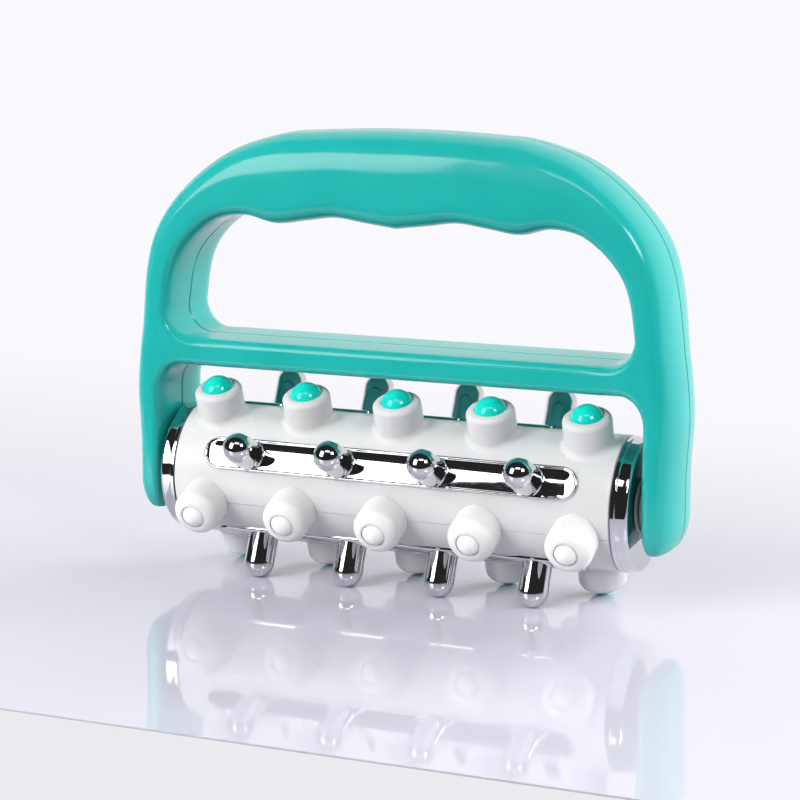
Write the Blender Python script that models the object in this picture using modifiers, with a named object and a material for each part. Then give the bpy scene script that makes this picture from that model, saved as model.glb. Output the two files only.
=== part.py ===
"""Foot massage roller: a D-shaped handle of two shells, and a studded drum that spins on an axle.

The frame is in metres with +Z up. The drum's axis is along X. The origin lies on the floor under
the middle of the drum, and the front is at -Y.
"""

import math

import bmesh
import bpy
from mathutils import Matrix, Vector

OBJECT_NAME = "foot_massage_roller"

# Clearances
FIT_GAP = 0.0003            # between pieces that touch
RUNNING_GAP = 0.00015       # between the axle and its bushes, on the radius
PARTING_GAP = 0.0003        # between two halves of a shell

# Drum
NUB_PITCH = 0.023           # from one nub to the next along the drum
NUBS_IN_ROW = 5
DRUM_RADIUS = 0.0156
DRUM_WALL = 0.0024
DRUM_OVERHANG = 0.0079      # from the last nub's centre to the drum's end
DRUM_END_WALL = 0.0027
DRUM_EDGE_CHAMFER = 0.0004
ROW_STEP = math.radians(45)

# Bead posts, moulded with the drum, and their beads
POST_RADIUS = 0.0057
POST_FLARE = 0.0012         # how far the foot of a post spreads
POST_TIP_RADIUS = 0.0224    # distance of a post's rim from the drum's axis
POST_EDGE = 0.0018          # rounding of the rim
BEAD_RADIUS = 0.004
BEAD_SINK = 0.0014          # of the bead's centre below the rim

# White nubs and their tips
NUB_RADIUS = 0.0056
NUB_REACH = 0.0229          # distance of a nub's end from the drum's axis
NUB_EDGE = 0.003            # rounding of a nub's end
NUB_SEAT_DEPTH = 0.0014     # of the flat seat that is sunk in the drum
NUB_STEM_RADIUS = 0.004
NUB_BARB_WIDTH = 0.0008
NUB_BARB_LENGTH = 0.0015
TIP_RADIUS = 0.00275
TIP_DOME = 0.0013
TIP_STANDS_PROUD = 0.0011
TIP_HOLE_DEPTH = 0.0059

# Chrome strips, each with its pins in one piece
STRIP_LENGTH = 0.0925
STRIP_WIDTH = 0.0079
STRIP_PROUD = 0.0006        # above the drum's surface
STRIP_POCKET_DEPTH = 0.0008
PINS_IN_STRIP = 4
PIN_RADIUS = 0.0034
PIN_BALL_DISTANCE = 0.0226  # of the round end's centre from the drum's axis
SPIGOT_RADIUS = 0.002
SPIGOT_LENGTH = 0.0023

# Chrome end caps, bushes and axle
CAP_THICKNESS = 0.0038
CAP_RIM_WIDTH = 0.0009
CAP_RIM_STEP = 0.0004
CAP_EDGE = 0.0008
CAP_SPIGOT_RADIUS = 0.009
AXLE_RADIUS = 0.0025
BUSH_WALL = 0.0025
BUSH_FLANGE_WIDTH = 0.0016
BUSH_FLANGE_THICKNESS = 0.0009

# Handle
ARM_WIDTH = 0.0082
ARM_DROP = 0.0096            # of an arm's end below the axle
ARM_END_ROUND = 0.008       # height of the rounded end
ARM_END_THINNING = 0.0044   # of the half depth at the very end
ARM_END_LEAN = 0.0014       # of the inner face, outwards, at the very end
ARM_END_TAPER = 0.0032      # of the outer face, inwards, at the very end
ARM_FOOT_TAPER = 0.0011     # of the outer face above the rounded end
ARM_WAIST_TAPER = 0.0002    # of the outer face a third of the way up to the crossbar
ARM_SOLID_RISE = 0.021      # the arm is solid up to here above the axle
HANDLE_HALF_DEPTH = 0.0122
HANDLE_WALL = 0.0022
CROSSBAR_BOTTOM = 0.0263    # above the axle
CROSSBAR_HEIGHT = 0.0067
CROSSBAR_HALF_DEPTH = 0.011
CROSSBAR_EDGE = 0.0016
CORNER_BELOW = 0.0055       # radius between an arm and the crossbar's underside
CORNER_ABOVE = 0.0063       # radius in the opening's lower corners
OPENING_HEIGHT = 0.0287
OPENING_LEAN = 0.0019       # of the opening's wall from the arm's inner face, at its foot
CORNER_STEP = 0.0003        # of a lower corner's edge from the opening's wall
GRIP_HEIGHT = 0.0213
FINGER_PITCH = 0.030
FINGER_DEPTH = 0.00095
GRIP_CROWN = 0.145          # share of the arch's rise lost towards its ends
GRIP_SHARE = 0.44           # of the handle's half width, where the grip meets the shoulders
INNER_SQUARENESS = 5.0      # exponents of the bar's section, 2 being an ellipse
OUTER_SQUARENESS = 2.3
CROWN_PLACE = 0.45          # of the deepest point across the bar, from its inner side
# The arch from the opening's foot to the grip. Each row holds the inner wall's x and rise, as
# shares of the opening's half width and height, and the outer wall's, as shares of the handle's.
SHOULDER_SHAPE = (
    (1.005, 0.060, 0.990, 0.050),
    (0.990, 0.280, 0.980, 0.180),
    (0.977, 0.470, 0.966, 0.330),
    (0.948, 0.638, 0.940, 0.490),
    (0.903, 0.767, 0.893, 0.618),
    (0.837, 0.889, 0.820, 0.744),
    (0.755, 0.983, 0.717, 0.852),
    (0.642, 1.017, 0.600, 0.926),
)
SCREW_ROW = 5               # the row of the arch where the shoulder screws sit

# Handle screws
SCREW_RADIUS = 0.0013
SCREW_HEAD_RADIUS = 0.0025
SCREW_HEAD_HEIGHT = 0.0019
SCREW_TOP_RADIUS = 0.00175  # of the head's flat top
SCREW_CROWN = 0.00075       # height of the slope round it
SCREW_LENGTH = 0.0145
SCREW_SEAT = 0.0065         # of the head's seat behind the parting plane
SCREW_ARM_RISE = 0.014      # of the arm screws above the axle
BOSS_RADIUS = 0.0042
BOSS_DEPTH = 0.0098
RECESS_WIDTH = 0.0007
RECESS_LENGTH = 0.0028
RECESS_DEPTH = 0.0011

# Facets
DRUM_STEPS = 32
CAP_STEPS = 24
ROUND_STEPS = 12
SMALL_STEPS = 10
BEAD_STEPS = 12
BEAD_RINGS = 6
PIN_RINGS = 3
EDGE_RINGS = 2
CORNER_STEPS = 4
STRIP_END_STEPS = 6
PATH_STEPS = 2              # between two stations of the handle
BAR_STEPS = 8
HOLLOW_STEPS = 4

# Worked out from the above
DRUM_HALF = (NUBS_IN_ROW - 1) / 2 * NUB_PITCH + DRUM_OVERHANG
BEAD_DISTANCE = POST_TIP_RADIUS - BEAD_SINK
CAP_INNER_X = DRUM_HALF + FIT_GAP
CAP_OUTER_X = CAP_INNER_X + CAP_THICKNESS
BUSH_RADIUS = AXLE_RADIUS + RUNNING_GAP + BUSH_WALL
ARM_INNER_X = CAP_OUTER_X + 2 * FIT_GAP + BUSH_FLANGE_THICKNESS
ARM_OUTER_X = ARM_INNER_X + ARM_WIDTH
AXLE_HALF = ARM_OUTER_X - HANDLE_WALL - 2 * FIT_GAP
CROSSBAR_TOP = CROSSBAR_BOTTOM + CROSSBAR_HEIGHT
OPENING_FOOT_X = ARM_INNER_X - OPENING_LEAN
GRIP_RISE = OPENING_HEIGHT + GRIP_HEIGHT


def resting_angle():
    """Turn of the drum at which a row of beads and a row of pins both touch the floor."""
    along = PIN_BALL_DISTANCE * math.cos(ROW_STEP) - BEAD_DISTANCE
    across = PIN_BALL_DISTANCE * math.sin(ROW_STEP)
    difference = BEAD_RADIUS - PIN_RADIUS
    reach = math.hypot(along, across)
    return math.atan2(across, along) - math.acos(difference / reach)


REST_ANGLE = resting_angle()
AXLE_HEIGHT = BEAD_DISTANCE * math.cos(REST_ANGLE) + BEAD_RADIUS


# Scene, materials and objects

def clear_scene():
    for obj in list(bpy.data.objects):
        bpy.data.objects.remove(obj, do_unlink=True)


def new_collection(name):
    collection = bpy.data.collections.new(name)
    bpy.context.scene.collection.children.link(collection)
    return collection


def make_material(name, colour, roughness, metallic=0.0):
    material = bpy.data.materials.new(name)
    material.use_nodes = True
    shader = material.node_tree.nodes["Principled BSDF"]
    shader.inputs["Base Color"].default_value = (*colour, 1.0)
    shader.inputs["Roughness"].default_value = roughness
    shader.inputs["Metallic"].default_value = metallic
    return material


def add_object(name, mesh, material, parent=None, location=(0, 0, 0), rotation=(0, 0, 0)):
    obj = bpy.data.objects.new(name, mesh)
    PARTS.objects.link(obj)
    obj.parent = parent
    obj.location = location
    obj.rotation_euler = rotation
    if mesh.materials:
        mesh.materials[0] = material
    else:
        mesh.materials.append(material)
    return obj


def add_tool(name, mesh, parent=None, location=(0, 0, 0), rotation=(0, 0, 0)):
    """A shape that is cut from another or joined to it, and isn't a piece itself."""
    obj = bpy.data.objects.new(name, mesh)
    CUTTERS.objects.link(obj)
    obj.parent = parent
    obj.location = location
    obj.rotation_euler = rotation
    obj.hide_render = True
    obj.display_type = "WIRE"
    return obj


def combine(target, tool, operation, solver="EXACT"):
    modifier = target.modifiers.new(tool.name, "BOOLEAN")
    modifier.operation = operation
    modifier.object = tool
    modifier.solver = solver


def join_to_shell(shell, tool):
    combine(shell, tool, "UNION", "MANIFOLD")


def cut_from_shell(shell, tool):
    combine(shell, tool, "DIFFERENCE", "MANIFOLD")


def finished_mesh(obj):
    """The object's mesh with its modifiers applied; the object itself is removed."""
    bpy.context.view_layer.update()
    graph = bpy.context.evaluated_depsgraph_get()
    mesh = bpy.data.meshes.new_from_object(obj.evaluated_get(graph))
    mesh.name = obj.name
    bpy.data.objects.remove(obj, do_unlink=True)
    return mesh


# Meshes

def outline_mesh(name, points, closed):
    mesh = bpy.data.meshes.new(name)
    edges = [(i, i + 1) for i in range(len(points) - 1)]
    if closed:
        edges.append((len(points) - 1, 0))
    mesh.from_pydata(points, edges, [])
    return mesh


def add_turn(obj, steps):
    """Turns an outline about Z. It runs down its outer side, and a full disc starts and ends on Z."""
    turn = obj.modifiers.new("turn", "SCREW")
    turn.axis = "Z"
    turn.angle = math.tau
    turn.steps = steps
    turn.render_steps = steps
    turn.use_merge_vertices = True
    turn.merge_threshold = 0.00001
    turn.use_smooth_shade = False


def turned_tool(name, profile, steps, parent=None, location=(0, 0, 0), rotation=(0, 0, 0)):
    points = [(radius, 0.0, height) for radius, height in profile]
    closed = profile[0][0] > 0.0
    obj = add_tool(name, outline_mesh(name, points, closed), parent, location, rotation)
    add_turn(obj, steps)
    return obj


def turned_mesh(name, profile, steps):
    mesh = finished_mesh(turned_tool(name, profile, steps))
    shade_round(mesh)
    return mesh


def shade_round(mesh):
    mesh.shade_smooth()
    mesh.set_sharp_from_angle(angle=math.radians(35))


def box_mesh(name, low, high):
    low, high = Vector(low), Vector(high)
    mesh = bpy.data.meshes.new(name)
    bm = bmesh.new()
    bmesh.ops.create_cube(bm, size=1.0)
    bmesh.ops.scale(bm, vec=high - low, verts=bm.verts)
    bmesh.ops.translate(bm, vec=(high + low) / 2, verts=bm.verts)
    bm.to_mesh(mesh)
    bm.free()
    return mesh


def rod_mesh(name, radius, low, high, steps):
    """A cylinder along Z."""
    mesh = bpy.data.meshes.new(name)
    bm = bmesh.new()
    bmesh.ops.create_cone(
        bm, cap_ends=True, segments=steps, radius1=radius, radius2=radius, depth=high - low
    )
    bmesh.ops.translate(bm, vec=(0, 0, (high + low) / 2), verts=bm.verts)
    bm.to_mesh(mesh)
    bm.free()
    return mesh


def ball_mesh(name, radius, steps, rings):
    mesh = bpy.data.meshes.new(name)
    bm = bmesh.new()
    bmesh.ops.create_uvsphere(bm, u_segments=steps, v_segments=rings, radius=radius)
    bm.to_mesh(mesh)
    bm.free()
    return mesh


def prism_mesh(name, outline, low, high, axis_up=True):
    """A flat outline made thick: along Z, or along Y where the outline lies in the XZ plane."""
    bottom = [(x, y, low) if axis_up else (x, low, y) for x, y in outline]
    mesh = bpy.data.meshes.new(name)
    bm = bmesh.new()
    face = bm.faces.new([bm.verts.new(point) for point in bottom])
    made = bmesh.ops.extrude_face_region(bm, geom=[face])["geom"]
    rise = (0, 0, high - low) if axis_up else (0, high - low, 0)
    moved = [item for item in made if isinstance(item, bmesh.types.BMVert)]
    bmesh.ops.translate(bm, vec=rise, verts=moved)
    bmesh.ops.recalc_face_normals(bm, faces=bm.faces)
    bm.to_mesh(mesh)
    bm.free()
    return mesh


def loft_mesh(name, sections):
    """A bar through closed sections that all have the same number of points."""
    mesh = bpy.data.meshes.new(name)
    bm = bmesh.new()
    rings = [[bm.verts.new(point) for point in section] for section in sections]
    count = len(rings[0])
    for here, there in zip(rings, rings[1:]):
        for i in range(count):
            j = (i + 1) % count
            bm.faces.new((here[i], here[j], there[j], there[i]))
    bm.faces.new(rings[0][::-1])
    bm.faces.new(rings[-1])
    bmesh.ops.triangulate(bm, faces=bm.faces)
    bmesh.ops.recalc_face_normals(bm, faces=bm.faces)
    bm.to_mesh(mesh)
    bm.free()
    return mesh


# Outlines

def arc(centre, radius, start, end, steps):
    """Points along an arc, with its angles in degrees."""
    points = []
    for i in range(steps + 1):
        angle = math.radians(start + (end - start) * i / steps)
        points.append((centre[0] + radius * math.cos(angle), centre[1] + radius * math.sin(angle)))
    return points


def stadium(length, width, steps):
    radius = width / 2
    middle = length / 2 - radius
    return arc((middle, 0), radius, -90, 90, steps) + arc((-middle, 0), radius, 90, 270, steps)


def smooth_between(rows, per_span):
    """A Catmull-Rom curve through rows of numbers, with per_span steps from each row to the next."""
    result = []
    for i in range(len(rows) - 1):
        before = rows[max(i - 1, 0)]
        after = rows[min(i + 2, len(rows) - 1)]
        for step in range(per_span):
            t = step / per_span
            result.append([
                0.5 * (2 * b + (c - a) * t + (2 * a - 5 * b + 4 * c - d) * t * t
                       + (3 * b - a - 3 * c + d) * t ** 3)
                for a, b, c, d in zip(before, rows[i], rows[i + 1], after)
            ])
    result.append(list(rows[-1]))
    return result


# Drum

def row_positions(count):
    """Places along the drum of a row of nubs or pins."""
    return [(i - (count - 1) / 2) * NUB_PITCH for i in range(count)]


def ring_profile(outer, inner, low, high):
    return [(inner, high), (outer, high), (outer, low), (inner, low)]


def drum_tube_mesh(name, profile):
    """An outline turned about the drum's axis, with a facet, not an edge, in line with each row."""
    mesh = finished_mesh(turned_tool(name, profile, DRUM_STEPS))
    half_facet = Matrix.Rotation(math.pi / DRUM_STEPS, 4, "Z")
    mesh.transform(Matrix.Rotation(math.pi / 2, 4, "Y") @ half_facet)
    return mesh


def make_drum_shells(drum):
    hub = CAP_SPIGOT_RADIUS + FIT_GAP
    inner = DRUM_RADIUS - DRUM_WALL
    edge = DRUM_EDGE_CHAMFER
    wall_face = DRUM_HALF - DRUM_END_WALL
    upper_profile = [
        (hub, wall_face), (hub, DRUM_HALF), (DRUM_RADIUS - edge, DRUM_HALF),
        (DRUM_RADIUS, DRUM_HALF - edge),
    ]
    lower_profile = [(radius, -height) for radius, height in reversed(upper_profile)]
    profile = upper_profile + lower_profile + [(inner, -wall_face), (inner, wall_face)]
    for name, turn in (("drum_shell_upper", 0.0), ("drum_shell_lower", math.pi)):
        frame = bpy.data.objects.new(name + "_frame", None)
        CUTTERS.objects.link(frame)
        frame.parent = drum
        frame.rotation_euler = (turn, 0, 0)
        shell = add_object(name, drum_tube_mesh(name, profile), WHITE_PLASTIC, parent=frame)
        size = 2 * POST_TIP_RADIUS
        other_half = box_mesh(
            name + "_other_half", (-2 * DRUM_HALF, -size, -size), (2 * DRUM_HALF, size, PARTING_GAP / 2)
        )
        cut_from_shell(shell, add_tool(name + "_other_half", other_half, frame))
        cut_nub_seats(shell, frame)
        cut_strip_pockets(shell, frame)
        add_bead_posts(shell, frame)


def bead_post_profile():
    foot = DRUM_RADIUS - DRUM_WALL + FIT_GAP
    foot_radius = POST_RADIUS + POST_FLARE
    flare_low = DRUM_RADIUS - POST_FLARE / 2
    rim = arc(
        (POST_RADIUS - POST_EDGE, POST_TIP_RADIUS - POST_EDGE), POST_EDGE, 80, 0, EDGE_RINGS
    )
    return [(0, POST_TIP_RADIUS)] + rim + [
        (POST_RADIUS, DRUM_RADIUS + 2 * POST_FLARE),
        (POST_RADIUS + POST_FLARE / 4, DRUM_RADIUS + POST_FLARE),
        (foot_radius, flare_low),
        (foot_radius, foot),
        (0, foot),
    ]


def add_bead_posts(shell, frame):
    for number, x in enumerate(row_positions(NUBS_IN_ROW), 1):
        tag = f"{shell.name}_{number}"
        post = turned_tool(tag + "_post", bead_post_profile(), ROUND_STEPS, frame, (x, 0, 0))
        join_to_shell(shell, post)
        socket = ball_mesh(tag + "_socket", BEAD_RADIUS + FIT_GAP, ROUND_STEPS, BEAD_RINGS)
        tool = add_tool(tag + "_socket", socket, frame, (x, 0, BEAD_DISTANCE))
        cut_from_shell(shell, tool)


def curved_plate_tool(name, outline, inner, outer, frame, turn):
    """A flat outline seen from outside the drum, cut from the tube between two radii."""
    mesh = drum_tube_mesh(name, ring_profile(outer, inner, -DRUM_HALF, DRUM_HALF))
    plate = add_tool(name, mesh, frame, rotation=(turn, 0, 0))
    prism = prism_mesh(name + "_outline", outline, inner / 2, 2 * outer)
    combine(plate, add_tool(name + "_outline", prism, frame, rotation=(turn, 0, 0)), "INTERSECT")
    return plate


def spigot_positions():
    pins = row_positions(PINS_IN_STRIP)
    return (pins[0], pins[-1])


def cut_strip_pockets(shell, frame):
    outline = stadium(STRIP_LENGTH + 2 * FIT_GAP, STRIP_WIDTH + 2 * FIT_GAP, STRIP_END_STEPS)
    for side, turn in (("front", ROW_STEP), ("rear", -ROW_STEP)):
        tag = f"{shell.name}_pocket_{side}"
        pocket = curved_plate_tool(
            tag, outline, DRUM_RADIUS - STRIP_POCKET_DEPTH, DRUM_RADIUS + STRIP_PROUD, frame, turn
        )
        cut_from_shell(shell, pocket)
        for end, x in enumerate(spigot_positions()):
            hole = rod_mesh(
                f"{tag}_hole_{end}", SPIGOT_RADIUS + FIT_GAP, DRUM_RADIUS / 2, DRUM_RADIUS, SMALL_STEPS
            )
            tool = add_tool(hole.name, hole, frame, rotation=(turn, 0, 0))
            tool.location = (x, 0, 0)
            cut_from_shell(shell, tool)


def cut_nub_seats(shell, frame):
    seat_floor = DRUM_RADIUS - NUB_SEAT_DEPTH
    for side, turn in (("front", math.pi / 2), ("rear", -math.pi / 2)):
        for number, x in enumerate(row_positions(NUBS_IN_ROW), 1):
            tag = f"{shell.name}_{side}_{number}"
            profile = [
                (0, NUB_REACH), (NUB_RADIUS + FIT_GAP, NUB_REACH), (NUB_RADIUS + FIT_GAP, seat_floor),
                (NUB_STEM_RADIUS + FIT_GAP, seat_floor), (NUB_STEM_RADIUS + FIT_GAP, DRUM_RADIUS / 2),
                (0, DRUM_RADIUS / 2),
            ]
            seat = turned_tool(tag + "_seat", profile, ROUND_STEPS, frame, (x, 0, 0), (turn, 0, 0))
            cut_from_shell(shell, seat)


def make_beads(drum):
    mesh = ball_mesh("teal_bead", BEAD_RADIUS, BEAD_STEPS, BEAD_RINGS)
    mesh.transform(Matrix.Translation((0, 0, BEAD_DISTANCE)))
    shade_round(mesh)
    for row, turn in (("upper", 0.0), ("lower", math.pi)):
        for number, x in enumerate(row_positions(NUBS_IN_ROW), 1):
            add_object(f"teal_bead_{row}_{number}", mesh, TEAL_BEAD, drum, (x, 0, 0), (turn, 0, 0))


def make_white_nubs(drum):
    seat = DRUM_RADIUS - NUB_SEAT_DEPTH + FIT_GAP
    barb_top = math.sqrt(
        (DRUM_RADIUS - DRUM_WALL) ** 2 - (NUB_STEM_RADIUS + NUB_BARB_WIDTH) ** 2
    ) - FIT_GAP
    barb_end = barb_top - NUB_BARB_LENGTH
    hole = TIP_RADIUS + FIT_GAP
    hole_floor = NUB_REACH - TIP_HOLE_DEPTH
    shoulder = arc((NUB_RADIUS - NUB_EDGE, NUB_REACH - NUB_EDGE), NUB_EDGE, 75, 0, EDGE_RINGS)
    profile = [(0, hole_floor), (hole, hole_floor), (hole, NUB_REACH)] + shoulder + [
        (NUB_RADIUS, seat),
        (NUB_STEM_RADIUS, seat),
        (NUB_STEM_RADIUS, barb_top),
        (NUB_STEM_RADIUS + NUB_BARB_WIDTH, barb_top),
        (NUB_STEM_RADIUS, barb_end),
        (0, barb_end),
    ]
    nub = turned_mesh("white_nub", profile, ROUND_STEPS)
    tip_top = NUB_REACH + TIP_STANDS_PROUD
    ball = (TIP_RADIUS ** 2 + TIP_DOME ** 2) / (2 * TIP_DOME)
    spread = math.degrees(math.asin(TIP_RADIUS / ball))
    dome = arc((0, tip_top - ball), ball, 90, 90 - spread, EDGE_RINGS)
    tip_end = hole_floor + FIT_GAP
    tip = turned_mesh("nub_tip", dome + [(TIP_RADIUS, tip_end), (0, tip_end)], SMALL_STEPS)
    for row, turn in (("front", math.pi / 2), ("rear", -math.pi / 2)):
        for number, x in enumerate(row_positions(NUBS_IN_ROW), 1):
            place = {"parent": drum, "location": (x, 0, 0), "rotation": (turn, 0, 0)}
            add_object(f"white_nub_{row}_{number}", nub, WHITE_RUBBER, **place)
            add_object(f"nub_tip_{row}_{number}", tip, WHITE_TIP, **place)


def make_chrome_strips(drum):
    under = DRUM_RADIUS - STRIP_POCKET_DEPTH + FIT_GAP
    top = DRUM_RADIUS + STRIP_PROUD
    outline = stadium(STRIP_LENGTH, STRIP_WIDTH, STRIP_END_STEPS)
    plate = curved_plate_tool("chrome_strip", outline, under, top, None, 0.0)
    pin_foot = under + FIT_GAP / 2
    ball = arc((0, PIN_BALL_DISTANCE), PIN_RADIUS, 90, 0, PIN_RINGS)
    for number, x in enumerate(row_positions(PINS_IN_STRIP), 1):
        profile = ball + [(PIN_RADIUS, pin_foot), (0, pin_foot)]
        pin = turned_tool(f"chrome_pin_{number}", profile, ROUND_STEPS, None, (x, 0, 0))
        combine(plate, pin, "UNION")
    for end, x in enumerate(spigot_positions()):
        low = under - SPIGOT_LENGTH
        rod = rod_mesh(f"chrome_spigot_{end}", SPIGOT_RADIUS, low, under + FIT_GAP, SMALL_STEPS)
        combine(plate, add_tool(rod.name, rod, None, (x, 0, 0)), "UNION")
    mesh = finished_mesh(plate)
    shade_round(mesh)
    for name, turn in (
        ("upper_front", ROW_STEP), ("upper_rear", -ROW_STEP),
        ("lower_front", math.pi - ROW_STEP), ("lower_rear", math.pi + ROW_STEP),
    ):
        add_object("chrome_strip_" + name, mesh, CHROME, drum, rotation=(turn, 0, 0))


def make_end_caps(drum):
    bore = BUSH_RADIUS + FIT_GAP
    spigot_end = DRUM_HALF - DRUM_END_WALL
    band = DRUM_RADIUS - CAP_RIM_STEP
    edge = arc((band - CAP_EDGE, CAP_OUTER_X - CAP_EDGE), CAP_EDGE, 90, 0, EDGE_RINGS)
    rim_top = CAP_INNER_X + CAP_RIM_WIDTH
    profile = [(bore, CAP_OUTER_X)] + edge + [
        (band, rim_top),
        (DRUM_RADIUS, rim_top),
        (DRUM_RADIUS, CAP_INNER_X),
        (CAP_SPIGOT_RADIUS, CAP_INNER_X),
        (CAP_SPIGOT_RADIUS, spigot_end),
        (bore, spigot_end),
    ]
    cap = turned_mesh("end_cap", profile, CAP_STEPS)
    bush_bore = AXLE_RADIUS + RUNNING_GAP
    flange_low = CAP_OUTER_X + FIT_GAP
    bush_profile = [
        (bush_bore, flange_low + BUSH_FLANGE_THICKNESS),
        (BUSH_RADIUS + BUSH_FLANGE_WIDTH, flange_low + BUSH_FLANGE_THICKNESS),
        (BUSH_RADIUS + BUSH_FLANGE_WIDTH, flange_low),
        (BUSH_RADIUS, flange_low),
        (BUSH_RADIUS, spigot_end),
        (bush_bore, spigot_end),
    ]
    bush = turned_mesh("bush", bush_profile, ROUND_STEPS)
    for side, turn in (("left", -math.pi / 2), ("right", math.pi / 2)):
        add_object("end_cap_" + side, cap, CHROME, drum, rotation=(0, turn, 0))
        add_object("bush_" + side, bush, NYLON, drum, rotation=(0, turn, 0))


def make_axle(handle):
    mesh = rod_mesh("axle", AXLE_RADIUS, -AXLE_HALF, AXLE_HALF, ROUND_STEPS)
    shade_round(mesh)
    add_object("axle", mesh, STEEL, handle, rotation=(0, math.pi / 2, 0))


# Handle

def arch_station(inner_x, inner_rise, outer_x, outer_rise):
    return (
        inner_x * OPENING_FOOT_X, CROSSBAR_TOP + inner_rise * OPENING_HEIGHT,
        outer_x * ARM_OUTER_X, CROSSBAR_TOP + outer_rise * GRIP_RISE,
        HANDLE_HALF_DEPTH,
    )


def arm_stations():
    """The right arm from its end up: inner x and z, outer x and z, and half depth."""
    stations = []
    for angle in (0, 30, 60, 90):
        lost = 1 - math.sin(math.radians(angle))
        z = -ARM_DROP + ARM_END_ROUND * (1 - math.cos(math.radians(angle)))
        stations.append((
            ARM_INNER_X + ARM_END_LEAN * lost, z,
            ARM_OUTER_X - ARM_FOOT_TAPER - ARM_END_TAPER * lost, z,
            HANDLE_HALF_DEPTH - ARM_END_THINNING * lost,
        ))
    for z, taper in ((CROSSBAR_BOTTOM / 3, ARM_WAIST_TAPER), (CROSSBAR_BOTTOM * 3 / 4, 0.0)):
        stations.append((ARM_INNER_X, z, ARM_OUTER_X - taper, z, HANDLE_HALF_DEPTH))
    return stations


def arch_stations():
    """From the foot of the opening's right wall to the middle of the grip."""
    elbow = (
        ARM_INNER_X - OPENING_LEAN / 3, CROSSBAR_BOTTOM + CROSSBAR_HEIGHT / 4,
        ARM_OUTER_X - ARM_WAIST_TAPER, CROSSBAR_BOTTOM + CROSSBAR_HEIGHT / 3,
        HANDLE_HALF_DEPTH,
    )
    stations = [elbow] + [arch_station(*row) for row in SHOULDER_SHAPE]
    for quarter in (4, 3, 2, 1, 0):
        x = quarter * FINGER_PITCH / 4
        wave = FINGER_DEPTH * math.cos(math.tau * x / FINGER_PITCH)
        outer_share = GRIP_SHARE * quarter / 4
        stations.append((
            x, CROSSBAR_TOP + OPENING_HEIGHT - wave,
            outer_share * ARM_OUTER_X, CROSSBAR_TOP + GRIP_RISE * (1 - GRIP_CROWN * outer_share ** 2),
            HANDLE_HALF_DEPTH,
        ))
    return stations


def mirrored(stations):
    """The stations of the right half, and after them those of the left half."""
    left = [(-s[0], s[1], -s[2], s[3], s[4]) for s in reversed(stations[:-1])]
    return stations + left


def bar_section(station, side, inset, steps):
    """Half of the bar's section, from the parting plane on its inner side round to the outer one."""
    inner = Vector((station[0], 0, station[1]))
    outer = Vector((station[2], 0, station[3]))
    across = (outer - inner).normalized()
    inner = inner + inset * across
    width = (outer - inner).length - inset
    depth = station[4] - inset
    crown = CROWN_PLACE * width
    overlap = -side * (HANDLE_WALL + inset) / 2
    points = [inner + Vector((0, overlap, 0))]
    for i in range(steps + 1):
        angle = math.pi * i / steps
        on_inner_side = angle < math.pi / 2
        power = 2 / (INNER_SQUARENESS if on_inner_side else OUTER_SQUARENESS)
        reach = abs(math.cos(angle)) ** power
        place = crown * (1 - reach) if on_inner_side else crown + (width - crown) * reach
        lift = depth * max(math.sin(angle), 0.0) ** power
        points.append(inner + place * across + Vector((0, side * lift, 0)))
    points.append(inner + width * across + Vector((0, overlap, 0)))
    return points


def crossbar_outline():
    inside_arm = ARM_INNER_X + ARM_WIDTH / 3
    above_x = OPENING_FOOT_X - CORNER_STEP
    below = arc(
        (ARM_INNER_X - CORNER_BELOW, CROSSBAR_BOTTOM - CORNER_BELOW), CORNER_BELOW, 90, 0, CORNER_STEPS
    )
    above = arc((above_x - CORNER_ABOVE, CROSSBAR_TOP + CORNER_ABOVE), CORNER_ABOVE, 0, -90, CORNER_STEPS)
    right = below + [
        (inside_arm, CROSSBAR_BOTTOM - CORNER_BELOW), (inside_arm, CROSSBAR_TOP + CORNER_ABOVE)
    ] + above
    left = [(-x, z) for x, z in reversed(right)]
    return right + left


def crossbar_mesh(name, side):
    overlap = -side * HANDLE_WALL / 3
    mesh = prism_mesh(name, crossbar_outline(), overlap, side * CROSSBAR_HALF_DEPTH, axis_up=False)
    bm = bmesh.new()
    bm.from_mesh(mesh)
    face_edges = [
        edge for edge in bm.edges
        if all(abs(vert.co.y - side * CROSSBAR_HALF_DEPTH) < FIT_GAP for vert in edge.verts)
    ]
    bmesh.ops.bevel(
        bm, geom=face_edges, offset=CROSSBAR_EDGE, segments=2, profile=0.5, affect="EDGES"
    )
    bm.to_mesh(mesh)
    bm.free()
    return mesh


def screw_places():
    """Name, x and z of each handle screw, from the axle."""
    arm_x = ARM_INNER_X + ARM_WIDTH / 2
    shoulder = arch_station(*SHOULDER_SHAPE[SCREW_ROW])
    shoulder_x = (shoulder[0] + shoulder[2]) / 2
    shoulder_z = (shoulder[1] + shoulder[3]) / 2
    grip_z = CROSSBAR_TOP + OPENING_HEIGHT + GRIP_HEIGHT / 2
    return (
        ("left_arm", -arm_x, SCREW_ARM_RISE),
        ("right_arm", arm_x, SCREW_ARM_RISE),
        ("left_shoulder", -shoulder_x, shoulder_z),
        ("right_shoulder", shoulder_x, shoulder_z),
        ("grip", 0.0, grip_z),
    )


def tool_along_y(name, mesh, handle, x, z):
    """A tool made along Z, laid along Y with its top to the rear."""
    return add_tool(name, mesh, handle, (x, 0, z), (-math.pi / 2, 0, 0))


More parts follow.
